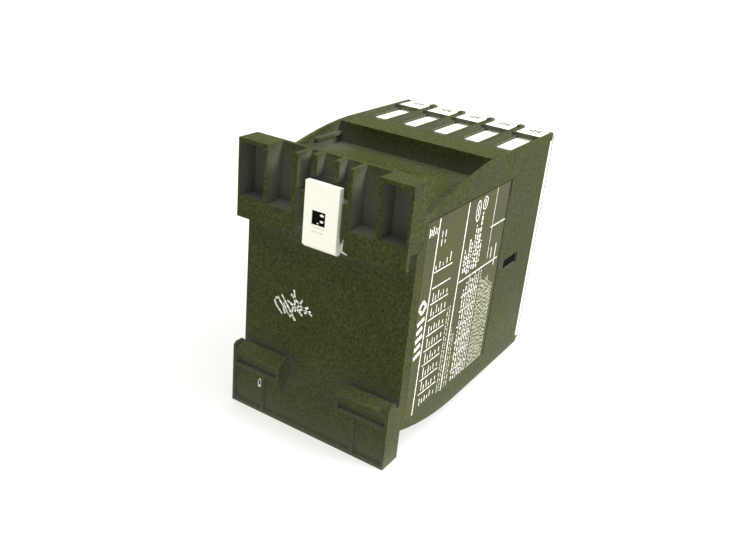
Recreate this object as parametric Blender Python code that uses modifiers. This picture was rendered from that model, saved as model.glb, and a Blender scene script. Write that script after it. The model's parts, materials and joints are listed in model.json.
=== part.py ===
"""Industrial control relay for a 35 mm mounting rail: a model in metres, +Z up.

The rear mounting face is at +Y, the front with the screwdriver holes at -Y, and +X is to the right
of a person who looks at the front. The origin is at the middle of the footprint, on the ground.

Lengths below are in millimetres. A place from rear to front is given as a depth, counted from the
rear mounting face. A place near the top or bottom wall of the contact block is given as an inset,
counted inwards from the outer face of that wall, with side = 1 for the top and -1 for the bottom.
"""
import math

import bmesh
import bpy
from mathutils import Matrix, Vector

MM = 0.001

# ---- driving dimensions ----
WIDTH = 45.0
HEIGHT = 68.0
DEPTH = 75.0
REAR = DEPTH / 2
GAP = 0.3                       # between two pieces that rest on each other
TRAVEL = 3.2                    # of the armature, rest to closed

PLATE = 6.3                     # thickness of the rear mounting plate
BLOCK_DEPTH = 38.0              # where the contact block starts
SHELL_FRONT = 72.5              # front edge of the black shell
TIP_FRONT = 73.8                # of the small tips between the tabs
MIDDLE = 34.3                   # height of the contact block's middle
HALF_BLOCK = 31.7               # from there to the outer face of its top and bottom wall
ROOF = 2.0                      # thickness of those walls
SIDE_WALL = 1.6
SIDE_WALL_FRONT = 1.2           # thinner beside the terminals

RAIL_LOW = 15.0                 # rail of 35 mm, at its lower and upper edge
RAIL_HIGH = 50.0
CHANNEL = 4.3                   # depth of the channel that takes the rail

PITCH = 9.0                     # of the terminal columns
COLUMNS = [PITCH * step for step in (-2, -1, 0, 1, 2)]
POLES = COLUMNS[1:]             # the first column holds the coil terminals
SCREW_INSET = 8.5
STRIP = (46.0, 47.0)            # depth of the contact strips
CLAMP = (51.7, 52.5)            # depth of an open clamp
SCREW_SHANK = 1.45
SCREW_HEAD = 2.3
CLAMP_HOLE = 1.6
WELL = 2.6                      # half width of the square screw wells
DRIVER_HOLE = 2.9               # half width of the holes in front of them
WIRE_DEPTH = (47.1, 52.9)       # wire entry behind the screw wells
CONTACT_OFFSET = 8.0            # of the fixed contacts from the middle

CLIP_X = -0.4                   # middle of the rail clip
CLIP_Z = (47.4, 62.8)
CLIP_ROOM = (-7.1, 6.2)
LABEL_DEPTH = (7.5, 49.9)       # recess of the side label
LABEL_Z = (8.5, 58.5)

# Sub-parts come out of the functions below in this collection, their cutters in the other one.
PARTS = None
HELPERS = None


# ---- small tools ----
def span(centre, half):
    return (centre - half, centre + half)


def level(side, inset):
    return MIDDLE + side * (HALF_BLOCK - inset)


def levels(side, inset_a, inset_b):
    return tuple(sorted((level(side, inset_a), level(side, inset_b))))


def metres(x, depth, z):
    return Vector((x, REAR - depth, z)) * MM


def link(obj, collection, material=None):
    collection.objects.link(obj)
    if material:
        obj.data.materials.append(material)
    if collection is HELPERS:
        obj.hide_render = True
        obj.display_type = 'WIRE'
    return obj


class Solid:
    """Closed primitives gathered in one mesh, with sizes in millimetres."""

    def __init__(self):
        self.mesh = bmesh.new()

    def box(self, x, depth, z):
        low = metres(x[0], depth[1], z[0])
        high = metres(x[1], depth[0], z[1])
        size = Matrix.Diagonal(high - low).to_4x4()
        bmesh.ops.create_cube(self.mesh, size=1.0, matrix=Matrix.Translation((low + high) / 2) @ size)
        return self

    def rod(self, axis, x, depth, z, radius, segments=20):
        """A cylinder: the coordinate along its axis is a (low, high) pair."""
        ends = {'X': x, 'Y': depth, 'Z': z}[axis]
        place = [sum(value) / 2 if isinstance(value, tuple) else value for value in (x, depth, z)]
        turn = {'X': Matrix.Rotation(math.pi / 2, 4, 'Y'),
                'Y': Matrix.Rotation(math.pi / 2, 4, 'X'),
                'Z': Matrix.Identity(4)}[axis]
        bmesh.ops.create_cone(self.mesh, cap_ends=True, segments=segments,
                              radius1=radius * MM, radius2=radius * MM,
                              depth=(ends[1] - ends[0]) * MM,
                              matrix=Matrix.Translation(metres(*place)) @ turn)
        return self

    def done(self, name, collection, material=None):
        data = bpy.data.meshes.new(name)
        self.mesh.to_mesh(data)
        self.mesh.free()
        return link(bpy.data.objects.new(name, data), collection, material)


def slab(name, outline, x, collection, material=None):
    """A flat outline of (depth, z) points, as thick as the span x."""
    curve = bpy.data.curves.new(name, 'CURVE')
    curve.dimensions = '2D'
    curve.fill_mode = 'BOTH'
    curve.extrude = (x[1] - x[0]) / 2 * MM
    spline = curve.splines.new('POLY')
    spline.points.add(len(outline) - 1)
    spline.use_cyclic_u = True
    for point, (depth, z) in zip(spline.points, outline):
        point.co = ((REAR - depth) * MM, z * MM, 0.0, 1.0)
    flat = bpy.data.objects.new(name + "_outline", curve)
    bpy.context.scene.collection.objects.link(flat)
    # The outline's own x, y, z become the world's Y, Z, X.
    flat.matrix_world = Matrix(((0, 0, 1, sum(x) / 2 * MM), (1, 0, 0, 0), (0, 1, 0, 0), (0, 0, 0, 1)))
    bpy.context.view_layer.update()
    data = bpy.data.meshes.new_from_object(flat.evaluated_get(bpy.context.evaluated_depsgraph_get()))
    data.name = name
    data.transform(flat.matrix_world)
    bpy.data.objects.remove(flat)
    mesh = bmesh.new()
    mesh.from_mesh(data)
    bmesh.ops.remove_doubles(mesh, verts=mesh.verts, dist=0.00001)
    bmesh.ops.recalc_face_normals(mesh, faces=mesh.faces)
    mesh.to_mesh(data)
    mesh.free()
    data.materials.clear()
    return link(bpy.data.objects.new(name, data), collection, material)


def combine(target, tool, operation):
    change = target.modifiers.new(tool.name, 'BOOLEAN')
    change.operation = operation
    change.object = tool
    change.solver = 'EXACT'
    change.use_self = True
    return target


def join(target, solid, label):
    return combine(target, solid.done(target.name + label, HELPERS), 'UNION')


def cut(target, solid, label):
    return combine(target, solid.done(target.name + label, HELPERS), 'DIFFERENCE')


def cut_slab(target, label, outline, x):
    return combine(target, slab(target.name + label, outline, x, HELPERS), 'DIFFERENCE')


def frame_of(name, origin):
    """An empty on a joint's axis, which carries the pieces that move with it."""
    empty = bpy.data.objects.new(name, None)
    empty.empty_display_size = 5 * MM
    empty.location = origin
    PARTS.objects.link(empty)
    return empty


def carry(empty, *pieces):
    for piece in pieces:
        piece.parent = empty
        piece.matrix_parent_inverse = Matrix.Translation(empty.location).inverted()


def smooth(obj, angle=40):
    obj.data.shade_smooth()
    obj.data.set_sharp_from_angle(angle=math.radians(angle))
    return obj


def material(name, colour, roughness, metallic=0.0):
    made = bpy.data.materials.new(name)
    made.use_nodes = True
    shader = made.node_tree.nodes['Principled BSDF']
    shader.inputs['Base Color'].default_value = (*colour, 1.0)
    shader.inputs['Roughness'].default_value = roughness
    shader.inputs['Metallic'].default_value = metallic
    made.diffuse_color = (*colour, 1.0)
    return made


def coil_spring(name, finish, x, depth, z, radius, wire, turns):
    """A compression spring along the depth, between the two values of depth."""
    points_per_turn = 8
    count = turns * points_per_turn
    length = depth[1] - depth[0] - 2 * wire
    curve = bpy.data.curves.new(name, 'CURVE')
    curve.dimensions = '3D'
    curve.bevel_depth = wire * MM
    curve.bevel_resolution = 2
    curve.use_fill_caps = True
    spline = curve.splines.new('POLY')
    spline.points.add(count)
    for index, point in enumerate(spline.points):
        angle = 2 * math.pi * index / points_per_turn
        place = metres(x + radius * math.cos(angle),
                       depth[0] + wire + length * index / count,
                       z + radius * math.sin(angle))
        point.co = (*place, 1.0)
    return link(bpy.data.objects.new(name, curve), PARTS, finish)


# ---- the black shell, with the mounting plate ----
def side_outline():
    """Seen from the side: both edges curve out from the plate to the full height of the block."""
    steps = 8
    top_run, top_drop, top_bend = 36.7, 7.3, 1.75
    bottom_run, bottom_drop, bottom_bend = 28.0, 4.9, 2.0
    start = PLATE - 1.0
    top, bottom = [], []
    for step in range(steps + 1):
        share = 1 - step / steps
        top.append((PLATE + top_run * (1 - share), level(1, top_drop * share ** top_bend)))
        bottom.append((PLATE + bottom_run * (1 - share), level(-1, bottom_drop * share ** bottom_bend)))
    top = [(start, top[0][1])] + top + [(SHELL_FRONT, level(1, 0))]
    bottom = [(start, bottom[0][1])] + bottom + [(SHELL_FRONT, level(-1, 0))]
    return top + bottom[::-1]


def shell_hollow(shell):
    """The room inside, and the two open recesses between the plate and the contact block."""
    back_wall = 1.6
    magnet_top = (56.0, 58.8)
    magnet_low = (10.6, 9.4)
    cut_slab(shell, "_magnet_room",
             [(PLATE - 2, magnet_low[0]), (BLOCK_DEPTH + 3, magnet_low[1]),
              (BLOCK_DEPTH + 3, magnet_top[1]), (PLATE - 2, magnet_top[0])],
             span(0, WIDTH / 2 - SIDE_WALL))
    cut(shell, Solid().box(span(0, WIDTH / 2 - SIDE_WALL_FRONT),
                           (BLOCK_DEPTH + back_wall, SHELL_FRONT + 2),
                           (level(-1, ROOF), level(1, ROOF))), "_contact_room")
    thin_wall = 1.0
    cut_slab(shell, "_top_recess",
             [(PLATE - 2, 57.2), (BLOCK_DEPTH, 60.4), (BLOCK_DEPTH, HEIGHT), (PLATE - 2, HEIGHT)],
             span(0, WIDTH / 2 - thin_wall))
    cut_slab(shell, "_bottom_recess",
             [(PLATE - 2, 9.2), (BLOCK_DEPTH, 7.8), (BLOCK_DEPTH, 0), (PLATE - 2, 0)],
             span(0, WIDTH / 2 - SIDE_WALL))


def shell_plate(shell):
    """The mounting plate, the ledges beside the top recess and the tips between the tabs."""
    added = Solid().box(span(0, WIDTH / 2), (0, PLATE), (0, HEIGHT))
    for hand in (-1, 1):
        ledge = sorted((hand * (WIDTH / 2 - 0.6), hand * (WIDTH / 2 - 1.9)))
        added.box(ledge, (27.0, BLOCK_DEPTH + 0.5), (62.3, 63.1))
        corner = sorted((hand * WIDTH / 2, hand * (WIDTH / 2 - 0.9)))
        for side in (-1, 1):
            added.box(corner, (SHELL_FRONT - 1, TIP_FRONT), levels(side, 0, ROOF))
    for edge in (-1.5, -0.5, 0.5, 1.5):
        for side in (-1, 1):
            added.box(span(edge * PITCH, 0.7), (SHELL_FRONT - 1, TIP_FRONT), levels(side, -0.3, ROOF))
    join(shell, added, "_plate")


def shell_terminal_windows(shell):
    """Per column a shallow pocket in the outer face and a slot through the wall below it."""
    pockets, slots, bars = Solid(), Solid(), Solid()
    for x in COLUMNS:
        for side in (-1, 1):
            pockets.box(span(x, 3.8), (WIRE_DEPTH[0] - 0.2, SHELL_FRONT + 0.5), levels(side, -0.6, 0.8))
            slots.box(span(x, 2.5), (WIRE_DEPTH[0], SHELL_FRONT + 0.6), levels(side, 0.5, ROOF + 0.5))
            bars.box(span(x, 4.2), (65.5, 66.2), levels(side, 0.0, 1.1))
    cut(shell, pockets, "_pockets")
    cut(shell, slots, "_slots")
    join(shell, bars, "_bars")


def shell_rail_side(shell):
    """Channel with two fixed hooks, moulded pockets and the recess of the rail clip."""
    hook_inner = CHANNEL - 1.3
    hook_under = [(hook_inner, RAIL_LOW - 0.3), (CHANNEL, RAIL_LOW - 0.3)]
    lip = 1.35
    channel_top = [(CHANNEL, 52.7), (lip, 52.9), (lip, 49.5), (-1, 49.5)]
    end_wall = 0.8
    cut_slab(shell, "_channel", [(-1, 14.0), (hook_inner, 16.3)] + hook_under + channel_top,
             span(0, WIDTH / 2 - end_wall))
    for hand in (-1, 1):
        x = sorted((hand * (WIDTH / 2 - end_wall - 0.01), hand * (WIDTH / 2 + 1)))
        cut_slab(shell, f"_channel_end_{hand + 1}",
                 [(-1, 15.8), (0, 15.8), (0.8, 16.4), (hook_inner, 16.4)] + hook_under + channel_top, x)
    hook_gap = (-8.1, 8.2)
    cut_slab(shell, "_hook_gap",
             [(-1, 17), (CHANNEL, 17), (CHANNEL, 10.6), (0.9, 7.0), (-1, 7.0)], hook_gap)
    for number, x in enumerate(((9.0, 21.7), (-21.7, -8.9))):
        cut_slab(shell, f"_hook_face_{number}", [(-1, 14.1), (0.1, 14.1), (1.5, 10.8), (-1, 10.8)], x)

    pockets = Solid()
    for x in ((13.5, 21.8), (-13.1, 12.7), (-21.8, -13.9)):
        pockets.box(x, (-1, 0.9), (0.7, 10.2))
    pocket_depth = 5.2
    for x in ((15.2, 21.9), (-21.9, -15.2)):
        pockets.box(x, (-1, pocket_depth), (54.5, HEIGHT - 0.9))
    for x in ((7.3, 14.3), (-14.3, -8.0)):
        pockets.box(x, (-1, pocket_depth), (54.5, HEIGHT + 1))
    pockets.box(CLIP_ROOM, (-1, 4.6), (RAIL_HIGH - 3, 63.4))
    pockets.box(CLIP_ROOM, (-1, 2.1), (63.0, HEIGHT + 1))
    for x in ((4.2, CLIP_ROOM[1]), (-1.7, 2.6), (CLIP_ROOM[0], -3.1)):
        pockets.box(x, (2.0, pocket_depth), (63.0, HEIGHT + 1))
    cut(shell, pockets, "_pockets_rear")
    guards = Solid()
    guard_z = (51.6, 59.6)
    guards.box((CLIP_ROOM[0] - 0.3, CLIP_X - 4.8), (1.1, 2.3), guard_z)
    guards.box((CLIP_X + 4.8, CLIP_ROOM[1] + 0.3), (1.1, 2.3), guard_z)
    guards.rod('Y', -20.7, (3.0, 5.6), 65.0, 1.1, 16)
    join(shell, guards, "_guards")


def base_housing(finish):
    shell = slab("base_housing", side_outline(), span(0, WIDTH / 2), PARTS, finish)
    shell_hollow(shell)
    shell_plate(shell)
    shell_terminal_windows(shell)
    shell_rail_side(shell)
    sides = Solid()
    sides.box((-WIDTH / 2 - 1, -WIDTH / 2 + 0.7), LABEL_DEPTH, LABEL_Z)
    lifting_notch = (LABEL_DEPTH[1] - 0.1, LABEL_DEPTH[1] + 0.7), (LABEL_Z[1] - 5.0, LABEL_Z[1])
    sides.box((-WIDTH / 2 - 1, -WIDTH / 2 + 0.9), *lifting_notch)
    for hand in (-1, 1):
        sides.box(sorted((hand * (WIDTH / 2 + 1), hand * (WIDTH / 2 - 2))), (53.5, 62.6), (32.0, 35.2))
    cut(shell, sides, "_side_openings")
    return shell


def side_label(finish):
    label = Solid().box((-WIDTH / 2 + 0.1, -WIDTH / 2 + 0.4),
                        (LABEL_DEPTH[0] + GAP, LABEL_DEPTH[1] - GAP), (LABEL_Z[0] + GAP, LABEL_Z[1] - GAP))
    return label.done("side_label", PARTS, finish)


# ---- contact block and front ----
def contact_housing(finish):
    rear, front = STRIP[1] + GAP, SHELL_FRONT - GAP
    low, high = level(-1, ROOF + 1.3), level(1, ROOF + 1.3)
    half = WIDTH / 2 - SIDE_WALL_FRONT - GAP
    block = Solid().box(span(0, half), (rear, front), (low, high)).done("contact_housing", PARTS, finish)
    rooms = Solid()
    for x in POLES:
        rooms.box(span(x, 2.6), (rear - 1, 57.0), span(MIDDLE, 12.2))
    cut(block, rooms, "_contact_rooms")
    cut(block, Solid().box((-12.3, half + 1), (rear - 1, 62.5), span(MIDDLE, 3.8)), "_carrier_slot")
    cut(block, Solid().box(span(PITCH / 2, 2.3), (62.0, front + 1), span(MIDDLE, 2.0)), "_indicator_hole")
    wires, wells = Solid(), Solid()
    for x in COLUMNS:
        for side in (-1, 1):
            wires.box(span(x, 2.6), (rear - 1, WIRE_DEPTH[1]), levels(side, 1.0, SCREW_INSET + 4.0))
            wells.box(span(x, WELL), (WIRE_DEPTH[1] - 0.5, front + 1), span(level(side, SCREW_INSET), WELL))
    cut(block, wires, "_wire_rooms")
    cut(block, wells, "_screw_wells")
    latches = Solid()
    for hand in (-1, 1):
        latches.box(sorted((hand * (half + 1), hand * (half - 3.5))), (52.0, 64.0), (30.5, 36.7))
    cut(block, latches, "_latch_rooms")
    return block


def front_cover(finish):
    rear, edge = SHELL_FRONT + GAP, 0.25
    cover = Solid().box(span(0, WIDTH / 2), (rear, DEPTH), (level(-1, edge), level(1, edge)))
    cover = cover.done("front_cover", PARTS, finish)
    tabs, holes = Solid(), Solid()
    for x in COLUMNS:
        for side in (-1, 1):
            tabs.box(span(x, 3.4), (66.5, rear + 1), levels(side, edge, 0.8 - GAP))
            tabs.box(span(x, 2.2), (66.5, rear + 1), levels(side, 0.4, 2.6))
            tabs.box(span(x, 2.2), (WIRE_DEPTH[1], rear + 1), levels(side, 1.4, 2.7))
            holes.box(span(x, DRIVER_HOLE), (rear - 1, DEPTH + 1),
                      span(level(side, SCREW_INSET), DRIVER_HOLE))
    join(cover, tabs, "_tabs")
    cut(cover, holes, "_driver_holes")
    notches = Solid()
    for side in (-1, 1):
        for edge_step in (-1.5, -0.5, 0.5, 1.5):
            notches.box(span(edge_step * PITCH, 1.0), (rear - 1, TIP_FRONT + GAP),
                        levels(side, -1, ROOF + GAP))
        for hand in (-1, 1):
            notches.box(sorted((hand * (WIDTH / 2 + 1), hand * (WIDTH / 2 - 1.2))),
                        (rear - 1, TIP_FRONT + GAP), levels(side, -1, ROOF + GAP))
    notches.box(span(PITCH / 2, 2.4), (rear - 1, DEPTH + 1), span(MIDDLE, 2.1))
    cut(cover, notches, "_notches")
    face = Solid()
    face.box(span(0, 20.2), (DEPTH - 0.7, DEPTH + 1), span(MIDDLE, 13.5))
    for hand in (-1, 1):
        for side in (-1, 1):
            face.box(span(hand * 13.5, 3.0), (DEPTH - 1.2, DEPTH + 1), span(MIDDLE + side * 16.8, 0.9))
    cut(cover, face, "_face")
    return cover


def marker_plate(finish):
    plate = Solid().box((-18.0, -4.0), (DEPTH - 0.4, DEPTH + 0.0), span(MIDDLE - 5.5, 3.5))
    return plate.done("marker_plate", PARTS, finish)


# ---- magnet system ----
CORE_HALF = 15.0
CORE_STACK = 6.0
POLE_HALF = 4.5
LEG = 4.5
FIXED_POLES = 24.0


def e_core(name, finish, yoke, poles):
    """Back yoke and three legs; yoke and poles are spans of depth."""
    core = Solid().box(span(0, CORE_HALF), yoke, span(MIDDLE, CORE_STACK)).done(name, PARTS, finish)
    legs = Solid().box(span(0, POLE_HALF), poles, span(MIDDLE, CORE_STACK))
    for hand in (-1, 1):
        legs.box(sorted((hand * CORE_HALF, hand * (CORE_HALF - LEG))), poles, span(MIDDLE, CORE_STACK))
    return join(core, legs, "_legs")


def fixed_core(finish):
    core = e_core("fixed_core", finish, (8.3, 12.8), (12.0, FIXED_POLES))
    slots = Solid()
    for hand in (-1, 1):
        slots.box(span(hand * 12.3, 0.7), (FIXED_POLES - 2.0, FIXED_POLES + 1), span(MIDDLE, CORE_STACK + 1))
    return cut(core, slots, "_ring_slots")


def shading_ring(name, finish, hand):
    """A copper loop around the outer half of a leg's pole face."""
    outer = sorted((hand * 11.9, hand * 16.1))
    inner = sorted((hand * 12.7, hand * 15.3))
    depth = (FIXED_POLES - 1.7, FIXED_POLES - 0.4)
    ring = Solid().box(outer, depth, span(MIDDLE, CORE_STACK + 1.1)).done(name, PARTS, finish)
    hole = Solid().box(inner, (depth[0] - 1, depth[1] + 1), span(MIDDLE, CORE_STACK + GAP))
    return cut(ring, hole, "_hole")


def core_cushion(finish):
    pad = Solid().box(span(0, CORE_HALF - 1), (PLATE + GAP, 8.0), span(MIDDLE, CORE_STACK))
    return pad.done("core_cushion", PARTS, finish)


def coil_bobbin(finish):
    tube = span(0, POLE_HALF + 1.3), (13.4, 29.2), span(MIDDLE, CORE_STACK + 1.3)
    bobbin = Solid().box(*tube).done("coil_bobbin", PARTS, finish)
    flanges = Solid()
    for depth in ((13.1, 14.3), (28.0, 29.2)):
        flanges.box(span(0, 10.2), depth, span(MIDDLE, 15.5))
    join(bobbin, flanges, "_flanges")
    hole = Solid().box(span(0, POLE_HALF + GAP), (12.0, 30.0), span(MIDDLE, CORE_STACK + GAP))
    return cut(bobbin, hole, "_hole")


def coil_winding(finish):
    winding = Solid().box(span(0, 9.4), (14.6, 27.7), span(MIDDLE, 13.0))
    winding = winding.done("coil_winding", PARTS, finish)
    hole = Solid().box(span(0, POLE_HALF + 1.6), (13.0, 29.0), span(MIDDLE, CORE_STACK + 1.6))
    return cut(winding, hole, "_hole")


# ---- pieces that move with the armature ----
PIN_DEPTH = 35.6
BEAM_FRONT = 60.3
WINDOW = (51.5, 58.9)


def armature_core(finish):
    core = e_core("armature_core", finish, (33.0, 38.0), (FIXED_POLES + TRAVEL + GAP, 34.0))
    return cut(core, Solid().rod('Z', 0, PIN_DEPTH, span(MIDDLE, CORE_STACK + 1), 1.6), "_pin_hole")


def armature_pin(finish):
    pin = Solid().rod('Z', 0, PIN_DEPTH, span(MIDDLE, CORE_STACK + 2.4), 1.3)
    return smooth(pin.done("armature_pin", PARTS, finish))


def contact_carrier(finish):
    carrier = Solid().box(span(0, 10.0), (38.0 + GAP, 41.8), span(MIDDLE, 14.0))
    carrier = carrier.done("contact_carrier", PARTS, finish)
    beam = (COLUMNS[1] - 2.8, COLUMNS[4] + 2.8)
    added = Solid().box(beam, (41.0, BEAM_FRONT), span(MIDDLE, 3.2))
    for side in (-1, 1):
        ear = sorted((MIDDLE + side * (CORE_STACK + GAP), MIDDLE + side * (CORE_STACK + 2.4)))
        added.box(span(0, 3.4), (33.4, 39.0), ear)
    join(carrier, added, "_beam")
    openings = Solid().rod('Z', 0, PIN_DEPTH, span(MIDDLE, CORE_STACK + 4), 1.6)
    for x in POLES:
        openings.box(span(x, 1.9), WINDOW, span(MIDDLE, 4))
    return cut(carrier, openings, "_openings")


def contact_bridge(name, finish, x):
    """Moving contact: a strip with a contact rivet near each end."""
    rear, front = WINDOW[0] + GAP, WINDOW[0] + GAP + 0.8
    bridge = Solid().box(span(x, 1.6), (rear, front), span(MIDDLE, CONTACT_OFFSET + 2)).done(name, PARTS, finish)
    rivets = Solid()
    for side in (-1, 1):
        rivets.rod('Y', x, (rear - 0.7, front - 0.3), MIDDLE + side * CONTACT_OFFSET, 1.3, 14)
    return join(bridge, rivets, "_rivets")


def position_indicator(finish):
    nose = Solid().box(span(PITCH / 2, 1.8), (BEAM_FRONT + GAP, DEPTH - 0.6), span(MIDDLE, 1.5))
    return nose.done("position_indicator", PARTS, finish)


# ---- terminals ----
def contact_strip(name, finish, x, side):
    """Fixed contact: terminal plate with its screw hole at one end, a rivet at the other."""
    ends = sorted((MIDDLE + side * (CONTACT_OFFSET - 2), level(side, 4.0)))
    strip = Solid().box(span(x, 2.3), STRIP, ends).done(name, PARTS, finish)
    rivet = Solid().rod('Y', x, (STRIP[0] + 0.3, STRIP[1] + 0.8), MIDDLE + side * CONTACT_OFFSET, 1.3, 14)
    join(strip, rivet, "_rivet")
    hole = Solid().rod('Y', x, (STRIP[0] - 1, STRIP[1] + 1), level(side, SCREW_INSET), CLAMP_HOLE, 16)
    return cut(strip, hole, "_hole")


def coil_strip(name, finish, x, side):
    """Coil terminal: a plate with its screw hole and a leg that runs back to the coil."""
    strip = Solid().box(span(x, 2.3), STRIP, levels(side, 4.0, 15.6)).done(name, PARTS, finish)
    join(strip, Solid().box(span(x + 1.3, 1.0), (29.5, STRIP[1] - 0.2), levels(side, 14.4, 15.4)), "_leg")
    hole = Solid().rod('Y', x, (STRIP[0] - 1, STRIP[1] + 1), level(side, SCREW_INSET), CLAMP_HOLE, 16)
    return cut(strip, hole, "_hole")


def clamp_plate(name, finish, x, side):
    """Pressure plate under the screw head, with a lip on both sides that keeps the wire in."""
    z = level(side, SCREW_INSET)
    clamp = Solid().box(span(x, 2.3), CLAMP, span(z, 3.0)).done(name, PARTS, finish)
    hole = Solid().rod('Y', x, (CLAMP[0] - 2, CLAMP[1] + 1), z, CLAMP_HOLE, 16)
    return cut(clamp, hole, "_hole")


def terminal_screw(name, finish, x, side):
    """Cross-slotted screw along the depth; its origin is on its axis, at the head's bearing face."""
    bearing, top, tip = CLAMP[1] + GAP, CLAMP[1] + GAP + 2.2, 44.2
    z = level(side, SCREW_INSET)
    outline = [(0.0, top), (SCREW_HEAD - 0.5, top), (SCREW_HEAD, top - 0.5), (SCREW_HEAD, bearing),
               (SCREW_SHANK, bearing), (SCREW_SHANK, tip + 0.6), (SCREW_SHANK - 0.6, tip), (0.0, tip)]
    data = bpy.data.meshes.new(name)
    points = [(radius * MM, 0.0, (place - bearing) * MM) for radius, place in outline]
    data.from_pydata(points, [(index, index + 1) for index in range(len(points) - 1)], [])
    screw = link(bpy.data.objects.new(name, data), PARTS, finish)
    turned = screw.modifiers.new("turned", 'SCREW')
    turned.steps = 14
    turned.render_steps = 14
    turned.use_merge_vertices = True
    turned.merge_threshold = 0.00001
    # The profile's own +z points out of the well, towards the front.
    screw.rotation_euler = (math.pi / 2, 0.0, 0.0)
    screw.location = metres(x, bearing, z)
    slots = Solid()
    slots.box(span(x, 0.4), (top - 1.0, top + 1), span(z, 1.6))
    slots.box(span(x, 1.6), (top - 1.0, top + 1), span(z, 0.4))
    return cut(screw, slots, "_slots")


# ---- rail clip ----
def rail_clip(finish):
    """Sliding clip: a face plate, a nose that grips the rail, and wings guided in the shell."""
    x = span(CLIP_X, 4.5)
    clip = slab("rail_clip", [(0.3, CLIP_Z[0] + 0.8), (1.1, CLIP_Z[0]), (2.0, CLIP_Z[0]), (2.9, 48.6),
                              (2.9, RAIL_HIGH - 0.3), (1.8, RAIL_HIGH + 0.3), (1.8, CLIP_Z[1]),
                              (0.3, CLIP_Z[1])], x, PARTS, finish)
    join(clip, Solid().box(span(CLIP_X, 5.2), (2.6, 4.2), (51.2, 59.0)), "_wings")
    join(clip, Solid().box(span(CLIP_X, 4.3), (1.6, 3.2), (51.4, 58.8)), "_web")
    return cut(clip, Solid().box((-1.6, 1.9), (-1, 3.4), (53.3, 56.5)), "_driver_window")


def rail_clip_spring(finish):
    """Wire bow over the top of the clip's wings, with both feet held at the shell's lower edge."""
    depth, wire = 3.4, 0.35
    left, right = CLIP_X - 5.9, CLIP_X + 5.9
    top, foot = 59.6, 49.6
    route = [(left - 1.5, foot), (left - 0.4, foot), (left, foot + 0.5), (left, top - 0.6),
             (left + 0.6, top), (right - 0.6, top), (right, top - 0.6), (right, foot + 3.0)]
    curve = bpy.data.curves.new("rail_clip_spring", 'CURVE')
    curve.dimensions = '3D'
    curve.bevel_depth = wire * MM
    curve.bevel_resolution = 2
    curve.use_fill_caps = True
    spline = curve.splines.new('POLY')
    spline.points.add(len(route) - 1)
    for point, (x, z) in zip(spline.points, route):
        point.co = (*metres(x, depth, z), 1.0)
    return link(bpy.data.objects.new("rail_clip_spring", curve), PARTS, finish)


# ---- the whole relay ----
def collection(name):
    made = bpy.data.collections.new(name)
    bpy.context.scene.collection.children.link(made)
    return made


def main():
    global PARTS, HELPERS
    for old in list(bpy.data.objects):
        bpy.data.objects.remove(old)
    PARTS = collection("control_relay")
    HELPERS = collection("control_relay_cutters")

    black = material("black_plastic", (0.045, 0.048, 0.032), 0.6)
    cream = material("cream_plastic", (0.82, 0.80, 0.72), 0.45)
    white = material("white_plastic", (0.86, 0.85, 0.78), 0.4)
    label = material("label_film", (0.06, 0.062, 0.045), 0.5)
    steel = material("core_steel", (0.35, 0.35, 0.36), 0.4, 1.0)
    plated = material("zinc_plated_steel", (0.62, 0.62, 0.6), 0.3, 1.0)
    brass = material("brass", (0.72, 0.55, 0.25), 0.3, 1.0)
    copper = material("copper", (0.75, 0.38, 0.22), 0.3, 1.0)
    wire = material("enamelled_wire", (0.45, 0.16, 0.06), 0.35, 0.6)
    rubber = material("rubber", (0.03, 0.03, 0.03), 0.8)
    amber = material("carrier_plastic", (0.32, 0.12, 0.05), 0.5)
    red = material("indicator_plastic", (0.6, 0.06, 0.04), 0.4)

    base_housing(black)
    side_label(label)
    contact_housing(black)
    front_cover(cream)
    marker_plate(white)
    fixed_core(steel)
    core_cushion(rubber)
    shading_ring("shading_ring_left", copper, -1)
    shading_ring("shading_ring_right", copper, 1)
    coil_bobbin(white)
    coil_winding(wire)
    for number, side in enumerate((1, -1), start=1):
        coil_spring(f"return_spring_{number}", plated, 0, (29.2 + GAP, 38.0), MIDDLE + side * 11.4,
                    2.2, 0.3, 5)

    armature = frame_of("armature_slide", metres(0, PIN_DEPTH, MIDDLE))
    moving = [armature_core(steel), armature_pin(plated), contact_carrier(amber), position_indicator(red)]
    for number, x in enumerate(POLES, start=1):
        moving.append(contact_bridge(f"contact_bridge_{number}", brass, x))
        moving.append(coil_spring(f"contact_spring_{number}", plated, x,
                                  (WINDOW[0] + 2 * GAP + 0.8, WINDOW[1] - GAP), MIDDLE, 1.2, 0.2, 4))
    carry(armature, *moving)

    for row, side in (("top", 1), ("bottom", -1)):
        for number, x in enumerate(COLUMNS, start=1):
            if x in POLES:
                contact_strip(f"contact_strip_{row}_{number}", brass, x, side)
            else:
                coil_strip(f"coil_strip_{row}", brass, x, side)
            terminal = frame_of(f"terminal_{row}_{number}", metres(x, CLAMP[1], level(side, SCREW_INSET)))
            carry(terminal, clamp_plate(f"clamp_plate_{row}_{number}", plated, x, side),
                  terminal_screw(f"terminal_screw_{row}_{number}", plated, x, side))

    clip = frame_of("rail_clip_slide", metres(CLIP_X, 1.2, CLIP_Z[0]))
    carry(clip, rail_clip(white))
    rail_clip_spring(plated)


main()
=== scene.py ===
"""Looks of an industrial control relay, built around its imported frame.

Lengths are in millimetres and become metres through MM. +Z is up, the rear mounting face is at +Y,
and the printed label is on the -X side. A depth counts from the rear mounting face, as in the CAD.
"""
import json
import math
import random

import bmesh
import bpy
from mathutils import Matrix, Vector

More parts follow.
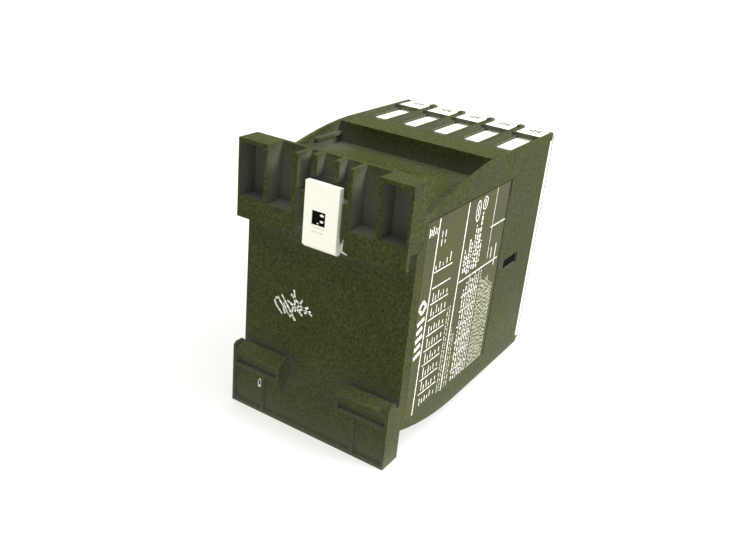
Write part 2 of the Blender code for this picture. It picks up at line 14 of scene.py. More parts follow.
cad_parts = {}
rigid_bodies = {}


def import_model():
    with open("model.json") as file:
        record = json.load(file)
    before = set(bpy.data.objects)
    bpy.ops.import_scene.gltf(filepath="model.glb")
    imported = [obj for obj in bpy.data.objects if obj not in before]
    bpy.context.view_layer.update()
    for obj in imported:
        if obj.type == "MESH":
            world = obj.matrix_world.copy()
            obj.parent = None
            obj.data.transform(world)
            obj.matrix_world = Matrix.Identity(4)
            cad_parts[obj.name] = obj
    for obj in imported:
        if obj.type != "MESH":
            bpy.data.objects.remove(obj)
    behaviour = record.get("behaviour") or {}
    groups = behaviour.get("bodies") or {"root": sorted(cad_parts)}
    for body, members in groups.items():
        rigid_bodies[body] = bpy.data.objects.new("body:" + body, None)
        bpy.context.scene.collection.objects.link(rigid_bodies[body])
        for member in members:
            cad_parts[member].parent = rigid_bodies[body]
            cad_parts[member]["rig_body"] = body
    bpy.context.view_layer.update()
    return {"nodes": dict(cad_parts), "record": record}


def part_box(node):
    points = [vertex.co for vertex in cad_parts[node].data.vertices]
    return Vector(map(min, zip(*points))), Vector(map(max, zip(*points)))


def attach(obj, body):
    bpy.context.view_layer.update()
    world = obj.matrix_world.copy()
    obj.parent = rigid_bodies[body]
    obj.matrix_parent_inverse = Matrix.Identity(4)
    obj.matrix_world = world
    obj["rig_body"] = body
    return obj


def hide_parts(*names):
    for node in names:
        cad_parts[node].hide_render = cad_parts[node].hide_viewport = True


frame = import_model()

MM = 0.001
HALF_WIDTH = 22.5
REAR = 37.5                     # Y of the rear mounting face
LABEL_FACE = -22.4              # X of the label film
CHANNEL_FACE = REAR - 4.3       # Y of the rail channel's floor
POCKET_FACE = REAR - 0.9        # Y of the shallow lower pockets' floor
PITCH = 9.0
COLUMNS = [PITCH * step for step in (-2, -1, 0, 1, 2)]
SHARP = math.radians(32)        # edges sharper than this are rounded
BAND_RATE = 3.14                # bands of the wave texture in one unit, at scale 1
NODES = frame["nodes"]
BODY_OF = {name: node["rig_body"] for name, node in NODES.items()}
SLOTS = {row["node"]: row["material_slot"] for row in frame["record"]["subparts"]}


# ---- materials ----
class Surface:
    """A Principled material whose textures are laid out in millimetres of the object."""

    def __init__(self, name, **fixed):
        self.material = bpy.data.materials.new(name)
        self.material.use_nodes = True
        self.tree = self.material.node_tree
        self.shader = self.tree.nodes["Principled BSDF"]
        for socket, value in fixed.items():
            self.shader.inputs[socket.replace("_", " ")].default_value = value
        place = self.node("ShaderNodeTexCoord")
        scale = self.node("ShaderNodeMapping")
        scale.inputs["Scale"].default_value = (1 / MM,) * 3
        self.link(place.outputs["Object"], scale.inputs["Vector"])
        self.place = scale.outputs["Vector"]

    def node(self, kind, **settings):
        made = self.tree.nodes.new(kind)
        for key, value in settings.items():
            setattr(made, key, value)
        return made

    def link(self, output, socket):
        self.tree.links.new(output, socket)

    def noise(self, per_mm, detail=2.0, rough=0.5, stretch=(1, 1, 1)):
        """Noise from 0 to 1, with about per_mm blobs in a millimetre."""
        shape = self.node("ShaderNodeMapping")
        shape.inputs["Scale"].default_value = stretch
        self.link(self.place, shape.inputs["Vector"])
        noise = self.node("ShaderNodeTexNoise")
        noise.inputs["Scale"].default_value = per_mm
        noise.inputs["Detail"].default_value = detail
        noise.inputs["Roughness"].default_value = rough
        self.link(shape.outputs["Vector"], noise.inputs["Vector"])
        return noise.outputs["Fac"]

    def wave(self, axis, profile, pitch, uneven=0.0):
        """Bands across an axis, one pitch apart."""
        wave = self.node("ShaderNodeTexWave", wave_type='BANDS', bands_direction=axis, wave_profile=profile)
        wave.inputs["Scale"].default_value = 1 / (pitch * BAND_RATE)
        wave.inputs["Distortion"].default_value = uneven
        self.link(self.place, wave.inputs["Vector"])
        return wave.outputs["Fac"]

    def height(self, whole):
        """Height above the floor, as a share of whole millimetres."""
        parts = self.node("ShaderNodeSeparateXYZ")
        self.link(self.place, parts.inputs["Vector"])
        share = self.node("ShaderNodeMath", operation='DIVIDE')
        share.inputs[1].default_value = whole
        self.link(parts.outputs["Z"], share.inputs[0])
        return share.outputs[0]

    def openness(self, reach):
        """1 on open faces, towards 0 in hollows, looking reach millimetres around."""
        hollow_shade_mask = self.node("ShaderNodeAmbientOcclusion", samples=6)
        hollow_shade_mask.inputs["Distance"].default_value = reach * MM
        return hollow_shade_mask.outputs["AO"]

    def ramp(self, value, *stops):
        """Colours or numbers at places from 0 to 1."""
        ramp = self.node("ShaderNodeValToRGB")
        elements = ramp.color_ramp.elements
        while len(elements) < len(stops):
            elements.new(0.5)
        for element, (at, colour) in zip(elements, stops):
            element.position = at
            element.color = (*colour, 1) if isinstance(colour, tuple) else (colour, colour, colour, 1)
        self.link(value, ramp.inputs["Fac"])
        return ramp.outputs["Color"]

    def mix(self, kind, amount, a, b):
        mixed = self.node("ShaderNodeMix", data_type='RGBA', blend_type=kind)
        for socket, value in (("Factor", amount), ("A", a), ("B", b)):
            found = next(s for s in mixed.inputs if s.name == socket
                         and s.type == ('VALUE' if socket == "Factor" else 'RGBA'))
            if isinstance(value, bpy.types.NodeSocket):
                self.link(value, found)
            elif isinstance(value, tuple):
                found.default_value = (*value, 1)
            else:
                found.default_value = value
        return next(s for s in mixed.outputs if s.type == 'RGBA')

    def colour(self, output):
        self.link(output, self.shader.inputs["Base Color"])

    def roughness(self, value, low, high):
        self.link(self.ramp(value, (0.3, low), (0.7, high)), self.shader.inputs["Roughness"])

    def bump(self, *layers):
        """Each layer is (height from 0 to 1, its depth in millimetres)."""
        normal = None
        for height, depth in layers:
            bump = self.node("ShaderNodeBump")
            bump.inputs["Strength"].default_value = 1.0
            bump.inputs["Distance"].default_value = depth * MM
            self.link(height, bump.inputs["Height"])
            if normal:
                self.link(normal, bump.inputs["Normal"])
            normal = bump.outputs["Normal"]
        self.link(normal, self.shader.inputs["Normal"])


def moulded(name, dark, light, rough=(0.52, 0.68), grain=0.03, specular=0.25, mottle=0.06,
            tint=None, scuff=None, painted_hollow_shade=None, floor_bounce_light=None):
    """Moulded plastic: cloudy colour, fine spark-eroded grain and faint rubbed streaks.

    Hollows lean towards a paler blue-grey that paints the look of their shade, and painted light from the
    floor is added below the rail channel.
    """
    made = Surface(name, Specular_IOR_Level=specular)
    if tint:
        made.shader.inputs["Specular Tint"].default_value = (*tint, 1)
    clouds = made.noise(0.09, 4.0, 0.62)
    speckle = made.noise(1.5, 4.0, 0.8)
    colour = made.ramp(clouds, (0.32, dark), (0.68, light))
    colour = made.mix('MULTIPLY', 1.0, colour, made.ramp(speckle, (0.3, 1 - mottle), (0.7, 1 + mottle)))
    # Painted light: a lift added below the rail channel, where light bounced from the floor falls.
    if floor_bounce_light:
        floor_bounce_mask = made.ramp(made.height(100.0), (0.12, 1.0), (0.24, 0.0))
        colour = made.mix('ADD', floor_bounce_mask, colour, floor_bounce_light)
    # Painted shade: faces that ambient occlusion finds in hollows are mixed towards a paler blue-grey that
    # stands for the look of their shade.
    if painted_hollow_shade:
        hollow_shade_mask = made.ramp(made.openness(9.0), (0.34, 0.92), (0.80, 0.0))
        colour = made.mix('MIX', hollow_shade_mask, colour, painted_hollow_shade)
    if scuff:
        streaks = made.noise(0.5, 5.0, 0.75, stretch=(0.35, 1.0, 1.9))
        colour = made.mix('MIX', made.ramp(streaks, (0.66, 0.0), (0.80, 0.35)), colour, scuff)
    made.colour(colour)
    made.roughness(clouds, *rough)
    made.bump((made.noise(3.2, 2.0, 0.6), grain), (made.noise(0.25, 2.0), grain * 3))
    return made.material


def metal(name, dark, light, rough=(0.25, 0.42), lines=(1, 1, 1), per_mm=1.2, stain=None):
    """Bare metal with rolling or turning lines and cloudy staining."""
    made = Surface(name, Metallic=1.0)
    clouds = made.noise(0.35, 4.0, 0.6)
    brushed = made.noise(per_mm, 3.0, 0.7, stretch=lines)
    colour = made.ramp(clouds, (0.3, dark), (0.7, light))
    colour = made.mix('MULTIPLY', 1.0, colour, made.ramp(brushed, (0.3, 0.86), (0.7, 1.08)))
    if stain:
        spots = made.noise(0.9, 5.0, 0.7)
        colour = made.mix('MIX', made.ramp(spots, (0.62, 0.0), (0.74, 0.5)), colour, stain)
    made.colour(colour)
    made.roughness(brushed, *rough)
    made.bump((brushed, 0.006))
    return made.material


def wound_wire(name, dark, light, pitch):
    """Enamelled wire wound round X in turns one pitch apart."""
    made = Surface(name, Metallic=0.75, Coat_Weight=0.5, Coat_Roughness=0.12)
    turns = made.wave('Y', 'SIN', pitch, uneven=0.25)
    # Painted shade and light: each turn is dark in the creases between turns and light on its crown.
    colour = made.ramp(turns, (0.1, dark), (0.7, light))
    colour = made.mix('MULTIPLY', 1.0, colour, made.ramp(made.noise(0.3, 3.0), (0.3, 0.75), (0.7, 1.1)))
    made.colour(colour)
    made.roughness(turns, 0.45, 0.22)
    made.bump((turns, 0.08))
    return made.material


def sheets(name, dark, light, pitch):
    """Core of stacked sheets: fine parallel lines between its ground faces."""
    made = Surface(name, Metallic=1.0)
    lines = made.wave('Z', 'SAW', pitch)
    colour = made.ramp(lines, (0.05, dark), (0.25, light))
    colour = made.mix('MULTIPLY', 1.0, colour, made.ramp(made.noise(0.4, 4.0), (0.3, 0.7), (0.7, 1.1)))
    made.colour(colour)
    made.roughness(lines, 0.5, 0.3)
    made.bump((lines, 0.03))
    return made.material


MATERIALS = {
    # Black plastic also carries painted shade in its hollows and painted light from the floor low down.
    "black_plastic": moulded("black_plastic", (0.030, 0.0335, 0.0075), (0.042, 0.0465, 0.0120),
                             specular=0.14, mottle=0.85, grain=0.05, tint=(1.0, 1.0, 0.55),
                             scuff=(0.070, 0.078, 0.034), painted_hollow_shade=(0.118, 0.124, 0.098),
                             floor_bounce_light=(0.015, 0.016, 0.0115)),
    "cream_plastic": moulded("cream_plastic", (0.74, 0.72, 0.62), (0.86, 0.84, 0.73),
                             rough=(0.42, 0.55), grain=0.012, specular=0.4),
    "white_plastic": moulded("white_plastic", (0.78, 0.77, 0.70), (0.88, 0.87, 0.80),
                             rough=(0.4, 0.5), grain=0.008, specular=0.4),
    "clip_plastic": moulded("clip_plastic", (0.93, 0.91, 0.78), (0.97, 0.95, 0.83),
                            rough=(0.30, 0.42), grain=0.006, specular=0.5, mottle=0.02),
    "label_film": moulded("label_film", (0.036, 0.036, 0.0085), (0.058, 0.057, 0.0165),
                          rough=(0.42, 0.55), grain=0.008, specular=0.2, mottle=0.28,
                          tint=(1.0, 1.0, 0.6), scuff=(0.12, 0.12, 0.06)),
    "carrier_plastic": moulded("carrier_plastic", (0.26, 0.09, 0.035), (0.36, 0.14, 0.06), grain=0.02),
    "indicator_plastic": moulded("indicator_plastic", (0.52, 0.05, 0.03), (0.64, 0.08, 0.05),
                                 rough=(0.3, 0.4), grain=0.006, specular=0.5),
    "rubber": moulded("rubber", (0.02, 0.02, 0.02), (0.035, 0.035, 0.035), rough=(0.75, 0.9), grain=0.04),
    "plated_steel": metal("plated_steel", (0.50, 0.50, 0.47), (0.68, 0.68, 0.64), stain=(0.42, 0.38, 0.30)),
    "brass": metal("brass", (0.62, 0.44, 0.17), (0.78, 0.60, 0.28), lines=(0.3, 1, 1),
                   stain=(0.40, 0.25, 0.12)),
    "copper": metal("copper", (0.62, 0.28, 0.15), (0.80, 0.42, 0.26), stain=(0.35, 0.16, 0.10)),
    "core_steel": sheets("core_steel", (0.12, 0.12, 0.12), (0.40, 0.39, 0.38), 0.5),
    "enamelled_wire": wound_wire("enamelled_wire", (0.16, 0.04, 0.01), (0.58, 0.20, 0.07), 0.22),
}


def print_ink(name, low, high):
    """Screen-printed ink with small worn patches."""
    made = Surface(name, Specular_IOR_Level=0.2)
    worn = made.noise(1.4, 4.0, 0.7)
    made.colour(made.ramp(worn, (0.30, low), (0.52, high)))
    made.roughness(worn, 0.7, 0.5)
    made.bump((worn, 0.004))
    return made.material


WHITE_INK = print_ink("white_ink", (0.30, 0.30, 0.20), (0.92, 0.91, 0.84))
# Grey ink prints the fine label text, and also paints the shade of the step on the clip.
GREY_INK_AND_STEP_SHADE = print_ink("grey_ink_and_step_shade", (0.22, 0.22, 0.13), (0.62, 0.61, 0.47))
# Dark ink prints the tab marks, and also paints the shade in the cover's parting line.
DARK_INK_AND_SEAM_SHADE = print_ink("dark_ink_and_seam_shade", (0.06, 0.06, 0.05), (0.012, 0.012, 0.012))
# A near-black with almost no shine, for pieces that paint the shade inside openings.
SHADE_BLACK = moulded("painted_shade_black", (0.0035, 0.0035, 0.003), (0.006, 0.006, 0.005), specular=0.01)


# ---- meshes ----
def shown(name, mesh, material, body, smooth=35):
    """A new piece from a bmesh, riding on a CAD body. Print has no smoothing, and faces outwards."""
    if not smooth:
        bmesh.ops.recalc_face_normals(mesh, faces=mesh.faces[:])
    data = bpy.data.meshes.new(name)
    mesh.to_mesh(data)
    mesh.free()
    if "custom_normal" in data.attributes:
        data.attributes.remove(data.attributes["custom_normal"])
    data.materials.clear()
    data.materials.append(material)
    data.polygons.foreach_set("use_smooth", [bool(smooth)] * len(data.polygons))
    if smooth:
        data.set_sharp_from_angle(angle=math.radians(smooth))
    piece = bpy.data.objects.new(name, data)
    bpy.context.scene.collection.objects.link(piece)
    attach(piece, body)
    return piece


def softened(node, edge):
    """A CAD node's own shape with its sharp edges rounded, standing for the node."""
    mesh = bmesh.new()
    mesh.from_mesh(NODES[node].data)
    bmesh.ops.remove_doubles(mesh, verts=mesh.verts, dist=0.002 * MM)
    bmesh.ops.dissolve_limit(mesh, angle_limit=math.radians(1), verts=mesh.verts, edges=mesh.edges)
    mesh.normal_update()
    sharp = [e for e in mesh.edges if len(e.link_faces) == 2 and e.calc_face_angle() > SHARP]
    bmesh.ops.bevel(mesh, geom=sharp, offset=edge * MM, segments=2, profile=0.5,
                    affect='EDGES', clamp_overlap=True)
    slot = SLOTS[node]
    piece = shown(node + "_soft", mesh, MATERIALS[slot], BODY_OF[node])
    weigh = piece.modifiers.new("even_normals", 'WEIGHTED_NORMAL')
    weigh.keep_sharp = True
    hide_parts(node)
    return piece


def box_into(mesh, low, high):
    """A box between two corners, added to the mesh."""
    size = Matrix.Diagonal((Vector(high) - Vector(low)) * MM).to_4x4()
    place = Matrix.Translation((Vector(low) + Vector(high)) / 2 * MM)
    bmesh.ops.create_cube(mesh, size=1.0, matrix=place @ size)


def ease_edges(mesh, edge):
    bmesh.ops.bevel(mesh, geom=mesh.edges[:], offset=edge * MM, segments=2, affect='EDGES')


def stroke_into(mesh, start, end, width, to_world, thickness=0.04):
    """A thin raised bar from start to end, two points of a flat drawing."""
    start, end = Vector(start), Vector(end)
    along = (end - start).normalized()
    side = Vector((-along.y, along.x)) * width / 2
    corners = (start - side, end - side, end + side, start + side)
    low = [mesh.verts.new(to_world(p.x, p.y, 0.0)) for p in corners]
    top = [mesh.verts.new(to_world(p.x, p.y, thickness)) for p in corners]
    faces = [low[::-1], top] + [(low[i], low[(i + 1) % 4], top[(i + 1) % 4], top[i]) for i in range(4)]
    for corner_list in faces:
        mesh.faces.new(corner_list)


def strokes_into(mesh, strokes, width, to_world):
    """Straight strokes that share one width."""
    for start, end in strokes:
        stroke_into(mesh, start, end, width, to_world)


def on_label(depth, z, lift):
    """A place on the label: depth from the rear face, height, and lift off the film."""
    return Vector((LABEL_FACE - lift, REAR - depth, z)) * MM


def facing_rear(y):
    """Places on a face that looks to the rear."""
    def place(x, z, lift):
        return Vector((x, y + lift, z)) * MM
    return place


# ---- CAD nodes ----
for node_name, node in NODES.items():
    node.data.materials.clear()
    node.data.materials.append(MATERIALS[SLOTS[node_name]])

for node_name, edge in (("base_housing", 0.18), ("front_cover", 0.18), ("rail_clip", 0.25),
                        ("side_label", 0.05), ("marker_plate", 0.1), ("contact_housing", 0.1)):
    softened(node_name, edge)


# ---- print on the label ----
def greeked_column(mesh, rng, depth, z_low, z_high, width, longest):
    """Text that runs up the label, shown as dashes of uneven length."""
    z = z_low
    while z < z_high:
        length = rng.uniform(0.35, 1.0) * longest
        stroke_into(mesh, (depth, z), (depth, min(z + length, z_high)), width, on_label)
        z += length + rng.uniform(0.25, 0.6)


def upright(depth, z_low, z_high):
    """The ends of a stroke that runs straight up the label."""
    return (depth, z_low), (depth, z_high)


def long_rules(mesh):
    """The rules that part the label into its fields."""
    rules = (((13.2, 58.0), (11.5, 8.9), 0.38),
             ((27.0, 58.0), (25.5, 8.9), 0.42),
             ((42.1, 58.0), (41.9, 39.7), 0.2),
             ((41.1, 48.1), (49.4, 48.1), 0.28),
             ((27.1, 38.0), (48.3, 38.0), 0.3))
    for start, end, width in rules:
        stroke_into(mesh, start, end, width, on_label)


def rating_rows(mesh, rng):
    """Rows between short rules, each holding a line of uneven strokes."""
    row_heights = (45.1, 41.2, 37.2, 33.2, 29.1, 25.2, 21.4, 17.4, 13.5, 9.6)
    row_columns = ((14.5, 2.8), (15.7, 1.5), (17.0, 2.4), (18.2, 1.2), (19.4, 1.9), (21.2, 1.5))
    for z in row_heights[:-1]:
        stroke_into(mesh, (13.4, z), (22.0, z - 0.25), 0.26, on_label)
    for row in row_heights[2:]:
        for depth, longest in row_columns:
            length = longest * rng.uniform(0.65, 1.0)
            foot = row + rng.uniform(0.4, 0.8)
            stroke_into(mesh, (depth, foot), (depth - 0.05, foot + length), 0.3, on_label)


def headings(mesh):
    """Short strokes over the rating rows and at the top of the first two fields."""
    over_rows = [upright(13.9 + 1.7 * step, 45.7, 45.7 + length)
                 for step, length in enumerate((1.0, 1.5, 0.8, 1.4, 2.4))]
    in_first = [upright(*place) for place in ((9.0, 54.6, 56.6), (9.8, 54.9, 56.2), (10.6, 54.6, 56.8),
                                              (11.5, 54.8, 56.2), (12.3, 54.6, 56.0))]
    in_second = [upright(*place) for place in ((15.0, 51.0, 52.6), (15.0, 53.1, 54.6),
                                               (16.6, 51.3, 52.2), (16.6, 52.8, 54.4))]
    strokes_into(mesh, over_rows + in_first + in_second, 0.32, on_label)


def closed_ring(mesh, centre, reach, sides, width):
    """A ring of straight sides round a centre, reach away from it in depth and in height."""
    corners = [(centre[0] + reach[0] * math.cos(math.tau * step / sides),
                centre[1] + reach[1] * math.sin(math.tau * step / sides)) for step in range(sides + 1)]
    strokes_into(mesh, zip(corners, corners[1:]), width, on_label)


def plain_sign(mesh):
    """Five slanted bars below a square that stands on its corner."""
    for step in range(5):
        foot = 25.3 + 2.15 * step
        stroke_into(mesh, (8.5, foot), (11.5 - 0.45 * (step % 2), foot + 0.8), 1.0, on_label)
    closed_ring(mesh, (10.0, 37.8), (1.6, 1.6), 4, 0.75)


def notes(mesh, rng):
    """Columns of greeked notes in the third field."""
    columns = ((28.3, 40.0, 46.0), (29.3, 40.0, 44.5), (30.5, 39.2, 48.0), (31.6, 39.2, 47.0),
               (32.9, 39.6, 51.0), (34.1, 39.4, 50.0), (35.4, 39.4, 53.6), (36.6, 40.4, 46.0))
    for depth, z_low, z_high in columns:
        greeked_column(mesh, rng, depth, z_low, z_high, rng.uniform(0.35, 0.7), 1.3)


def big_table(mesh, rng):
    """The ruled table below, filled with greeked columns."""
    strokes_into(mesh, [upright(depth, 9.0, 37.8) for depth in (33.1, 36.2, 38.3)], 0.2, on_label)
    row_heights = (33.2, 29.2, 24.9, 20.6, 16.7, 12.4)
    strokes_into(mesh, [((29.6, z), (38.3, z)) for z in row_heights], 0.22, on_label)
    for depth, z_high, width in ((30.6, 35.0, 0.4), (31.9, 36.5, 0.5), (34.0, 37.0, 0.35),
                                 (35.1, 37.0, 0.45), (37.2, 36.6, 0.4)):
        greeked_column(mesh, rng, depth, 9.4, z_high, width, 1.4)


def rings(mesh):
    """Two rings at the top of the third field, each round a short stroke."""
    for centre, reach in (((32.4, 54.6), (1.1, 2.6)), ((35.8, 55.8), (1.2, 1.6))):
        closed_ring(mesh, centre, reach, 10, 0.3)
        stroke_into(mesh, *upright(centre[0], centre[1] - reach[1] / 2, centre[1] + reach[1] / 2),
                    0.4, on_label)


def small_table(mesh, rng):
    """The finest print: thin columns beside the rules, and a close block in the front field."""
    for depth, z_low, z_high, longest in ((23.2, 9.4, 33.0, 1.6), (24.3, 9.4, 33.0, 1.2),
                                          (27.0, 9.2, 26.0, 1.3), (28.2, 9.2, 24.0, 1.6)):
        greeked_column(mesh, rng, depth, z_low, z_high, 0.36, longest)
    for step in range(11):
        ragged_end = 36.5 - 0.45 * step + rng.uniform(-1.5, 1.0)
        greeked_column(mesh, rng, 39.6 + 0.8 * step, 9.2, ragged_end, 0.36, 1.1)


def label_print():
    """Rules, tables and greeked text, with a plain geometric sign."""
    rng = random.Random(7)
    bold = bmesh.new()
    long_rules(bold)
    rating_rows(bold, rng)
    headings(bold)
    plain_sign(bold)
    notes(bold, rng)
    big_table(bold, rng)
    rings(bold)
    strokes_into(bold, (upright(46.4, 36.4, 42.4), upright(43.9, 39.0, 42.0)), 0.35, on_label)
    shown("label_print_bold", bold, WHITE_INK, "relay", smooth=0)

    fine = bmesh.new()
    small_table(fine, rng)
    shown("label_print_fine", fine, GREY_INK_AND_STEP_SHADE, "relay", smooth=0)


label_print()


# ---- marks left on the rear ----
def pen_marks():
    """White pen strokes on the channel floor and a scratch in a lower pocket.

    Each stroke is a list of places: distance from the +X side, and height.
    """
    rng = random.Random(3)
    marks = bmesh.new()
    on_channel = facing_rear(CHANNEL_FACE)
    film = 0.02
    strokes = (((8.6, 29.5), (9.3, 28.2), (11.0, 26.6)),
               ((9.7, 30.4), (11.2, 28.7), (11.9, 27.0)),
               ((8.9, 29.9), (9.9, 30.6)),
               ((10.7, 31.5), (13.0, 28.6), (14.9, 26.1)),
               ((11.3, 29.6), (12.6, 27.4), (13.6, 26.6)),
               ((14.2, 33.9), (14.7, 30.8), (13.8, 27.6)),
               ((13.4, 32.5), (16.7, 30.1), (19.6, 29.0)),
               ((12.4, 30.6), (15.2, 29.3), (16.9, 28.0)),
               ((14.7, 28.4), (15.9, 30.4), (16.7, 31.9)),
               ((15.8, 29.0), (18.4, 30.6)),
               ((17.5, 28.9), (19.2, 29.8)))
    runs = [pair for stroke in strokes for pair in zip(stroke, stroke[1:])]
    pieces = 3
    overlap = 0.15
    for (x_a, z_a), (x_b, z_b) in runs:
        for step in range(pieces):
            a = step / pieces
            b = (step + 1 + overlap) / pieces
            start = (HALF_WIDTH - x_a - (x_b - x_a) * a, z_a + (z_b - z_a) * a)
            end = (HALF_WIDTH - x_a - (x_b - x_a) * b, z_a + (z_b - z_a) * b)
            stroke_into(marks, start, end, rng.uniform(0.3, 0.58), on_channel, film)
    in_pocket = facing_rear(POCKET_FACE)
    stroke_into(marks, (14.7, 6.4), (14.3, 8.8), 0.75, in_pocket, film)
    stroke_into(marks, (14.9, 7.0), (14.6, 8.4), 0.6, in_pocket, film)
    shown("pen_marks", marks, WHITE_INK, "relay", smooth=0)


pen_marks()


# ---- details of the rail clip ----
def clip_details():
    """A near-black sheet in the clip's window that paints the shade of its hole, two bright dimples, and
    grey lines below it that paint the shade of a small step.
    """
    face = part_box("rail_clip")[1].y / MM
    # Painted shade: a near-black sheet fills the window's hole.
    window_shade = bmesh.new()
    box_into(window_shade, (-1.65, face - 2.6, 53.25), (1.95, face - 0.12, 56.55))
    ease_edges(window_shade, 0.1)
    shown("clip_window_shade", window_shade, SHADE_BLACK, "rail_clip")
    for number, (x, z, radius) in enumerate(((-0.7, 55.75, 0.40), (-0.7, 54.35, 0.36), (0.3, 53.75, 0.2))):
        dimple = bmesh.new()
        bmesh.ops.create_uvsphere(dimple, u_segments=20, v_segments=12, radius=radius * MM,
                                  matrix=Matrix.Translation(Vector((x, face - 0.14, z)) * MM)
                                  @ Matrix.Diagonal((1.4, 0.4, 0.75, 1)))
        shown(f"clip_dimple_{number}", dimple, MATERIALS["clip_plastic"], "rail_clip")
    # Painted shade: grey strokes stand for the shade of a small step below the window.
    step_shade_lines = bmesh.new()
    on_clip = facing_rear(face)
    for x in (1.55, 0.95, 0.35, -0.25, -0.85, -1.35):
        stroke_into(step_shade_lines, (x, 52.75), (x - 0.3, 52.65), 0.2, on_clip, 0.02)
    stroke_into(step_shade_lines, (1.7, 51.75), (-1.4, 51.75), 0.14, on_clip, 0.015)
    shown("clip_step_shade", step_shade_lines, GREY_INK_AND_STEP_SHADE, "rail_clip", smooth=0)


def wire_piece(name, points, radius, material, body):
    """A round wire along smooth points in millimetres, as a mesh."""
    curve = bpy.data.curves.new(name, 'CURVE')
    curve.dimensions = '3D'
    curve.bevel_depth = radius * MM
    curve.bevel_resolution = 3
    curve.resolution_u = 6
    curve.use_fill_caps = True
    spline = curve.splines.new('NURBS')
    spline.points.add(len(points) - 1)
    spline.use_endpoint_u = True
    spline.order_u = 3
    for point, place in zip(spline.points, points):
        point.co = (*(Vector(place) * MM), 1.0)
    bare = bpy.data.objects.new(name + "_curve", curve)
    bpy.context.scene.collection.objects.link(bare)
    mesh = bmesh.new()
    mesh.from_mesh(bare.evaluated_get(bpy.context.evaluated_depsgraph_get()).to_mesh())
    bpy.data.objects.remove(bare)
    bmesh.ops.remove_doubles(mesh, verts=mesh.verts, dist=0.001 * MM)
    return shown(name, mesh, material, body)


clip_details()
wire_piece("spring_foot", ((-6.2, REAR - 3.6, 52.0), (-6.2, REAR - 1.6, 51.9), (-6.2, REAR - 0.9, 51.2),
                           (-6.2, REAR - 0.7, 50.1), (-6.3, REAR - 0.6, 49.2), (-7.0, REAR - 0.5, 49.0),
                           (-7.9, REAR - 0.5, 49.0)),
           0.26, MATERIALS["plated_steel"], "relay")


# ---- small print on the tabs ----
def tab_marks():
    """Four dark strokes on each tab of the cover, in place of its small print."""
    marks = bmesh.new()
    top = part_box("front_cover")[1].z / MM
    strokes = ((-1.3, 70.9, 2.3), (-0.55, 71.4, 1.8), (0.25, 70.7, 2.4), (1.1, 71.0, 1.9))

    def on_tab(x, y, lift):
        return Vector((x, y, top + lift)) * MM
    for column in COLUMNS:
        for offset, depth, length in strokes:
            x, y = column + offset, REAR - depth
            stroke_into(marks, (x, y), (x, y - length), 0.5, on_tab, 0.03)
    shown("tab_marks", marks, DARK_INK_AND_SEAM_SHADE, "relay", smooth=0)


tab_marks()


def cover_seam_shade():
    """The fine parting line round the cover, just behind its front face, as dark ink lines that paint the
    shade in its gap.
    """
    low, high = (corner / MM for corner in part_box("front_cover"))
    behind, half_line, proud, short = 0.45, 0.2, 0.02, 0.5
    line = (low.y + behind - half_line, low.y + behind + half_line)
    seam_shade_lines = bmesh.new()
    for x in (-high.x, high.x):
        box_into(seam_shade_lines, (x - proud, line[0], low.z + short), (x + proud, line[1], high.z - short))
    for z in (low.z, high.z):
        box_into(seam_shade_lines, (short - high.x, line[0], z - proud), (high.x - short, line[1], z + proud))
    shown("cover_seam_shade", seam_shade_lines, DARK_INK_AND_SEAM_SHADE, "relay", smooth=0)


cover_seam_shade()


def latch_tongue_shades():
    """The latches of the inner block, seen in the snap openings of both sides, their near-black standing
    for the shade inside the openings.
    """
    inner, outer = HALF_WIDTH - 1.15, HALF_WIDTH - 0.6
    for name, hand in (("latch_tongue_shade_left", -1), ("latch_tongue_shade_right", 1)):
        tongue_shade = bmesh.new()
        x_low, x_high = sorted((hand * inner, hand * outer))
        box_into(tongue_shade, (x_low, REAR - 62.4, 32.15), (x_high, REAR - 53.7, 35.05))
        ease_edges(tongue_shade, 0.15)
        # Painted shade: the near-black stands for the shade inside the snap openings.
        shown(name, tongue_shade, SHADE_BLACK, "relay")


latch_tongue_shades()


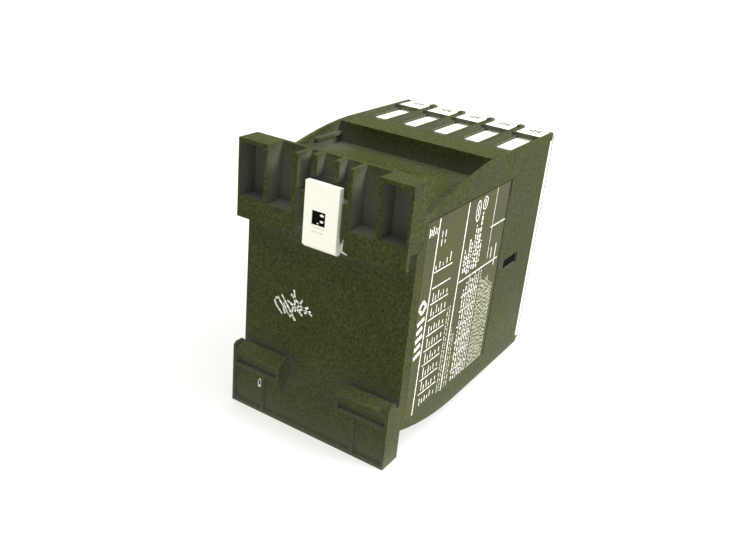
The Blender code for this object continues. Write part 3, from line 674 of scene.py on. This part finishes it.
# ---- floor, light and camera ----
def floor():
    """A plain pale sheet that glows a little, so that it stays near white."""
    mesh = bmesh.new()
    half_side = 3.0
    bmesh.ops.create_grid(mesh, x_segments=1, y_segments=1, size=half_side)
    data = bpy.data.meshes.new("floor")
    mesh.to_mesh(data)
    mesh.free()
    pale = Surface("pale_floor", Roughness=0.9, Specular_IOR_Level=0.1)
    pale.colour(pale.ramp(pale.noise(0.01), (0.3, (0.30, 0.30, 0.29)), (0.7, (0.32, 0.32, 0.31))))
    pale.shader.inputs["Emission Color"].default_value = (1.0, 1.0, 0.985, 1)
    pale.shader.inputs["Emission Strength"].default_value = 0.58
    data.materials.append(pale.material)
    made = bpy.data.objects.new("floor", data)
    bpy.context.scene.collection.objects.link(made)


def light():
    """A pale world, a key light from the label's side and a broad light from above."""
    world = bpy.data.worlds.new("studio")
    world.use_nodes = True
    background = world.node_tree.nodes["Background"]
    background.inputs["Color"].default_value = (1.0, 1.0, 0.99, 1)
    background.inputs["Strength"].default_value = 0.57
    bpy.context.scene.world = world
    for name, strength, spread, towards in (("key", 3.4, 20, (0.75, 0.25, -0.60)),
                                            ("overhead", 3.4, 75, (0.05, 0.12, -1.0))):
        lamp = bpy.data.lights.new(name, 'SUN')
        lamp.energy = strength
        lamp.angle = math.radians(spread)
        hung = bpy.data.objects.new(name, lamp)
        hung.rotation_mode = 'QUATERNION'
        hung.rotation_quaternion = Vector(towards).to_track_quat('-Z', 'Y')
        bpy.context.scene.collection.objects.link(hung)
    bpy.context.scene.view_settings.view_transform = 'Standard'


def camera():
    """Above and behind the object, on the label's side."""
    data = bpy.data.cameras.new("camera")
    data.sensor_width = 36.0
    data.lens = 39.49
    data.clip_start, data.clip_end = 0.01, 20.0
    made = bpy.data.objects.new("camera", data)
    place = Vector((-93.93, 172.13, 118.10))
    aim = Vector((4.37, 3.99, 31.22))
    roll = math.radians(5.82)
    made.rotation_mode = 'QUATERNION'
    made.location = place * MM
    made.rotation_quaternion = ((aim - place).to_track_quat('-Z', 'Y')
                                @ Matrix.Rotation(roll, 3, 'Z').to_quaternion())
    bpy.context.scene.collection.objects.link(made)
    bpy.context.scene.camera = made


floor()
light()
camera()
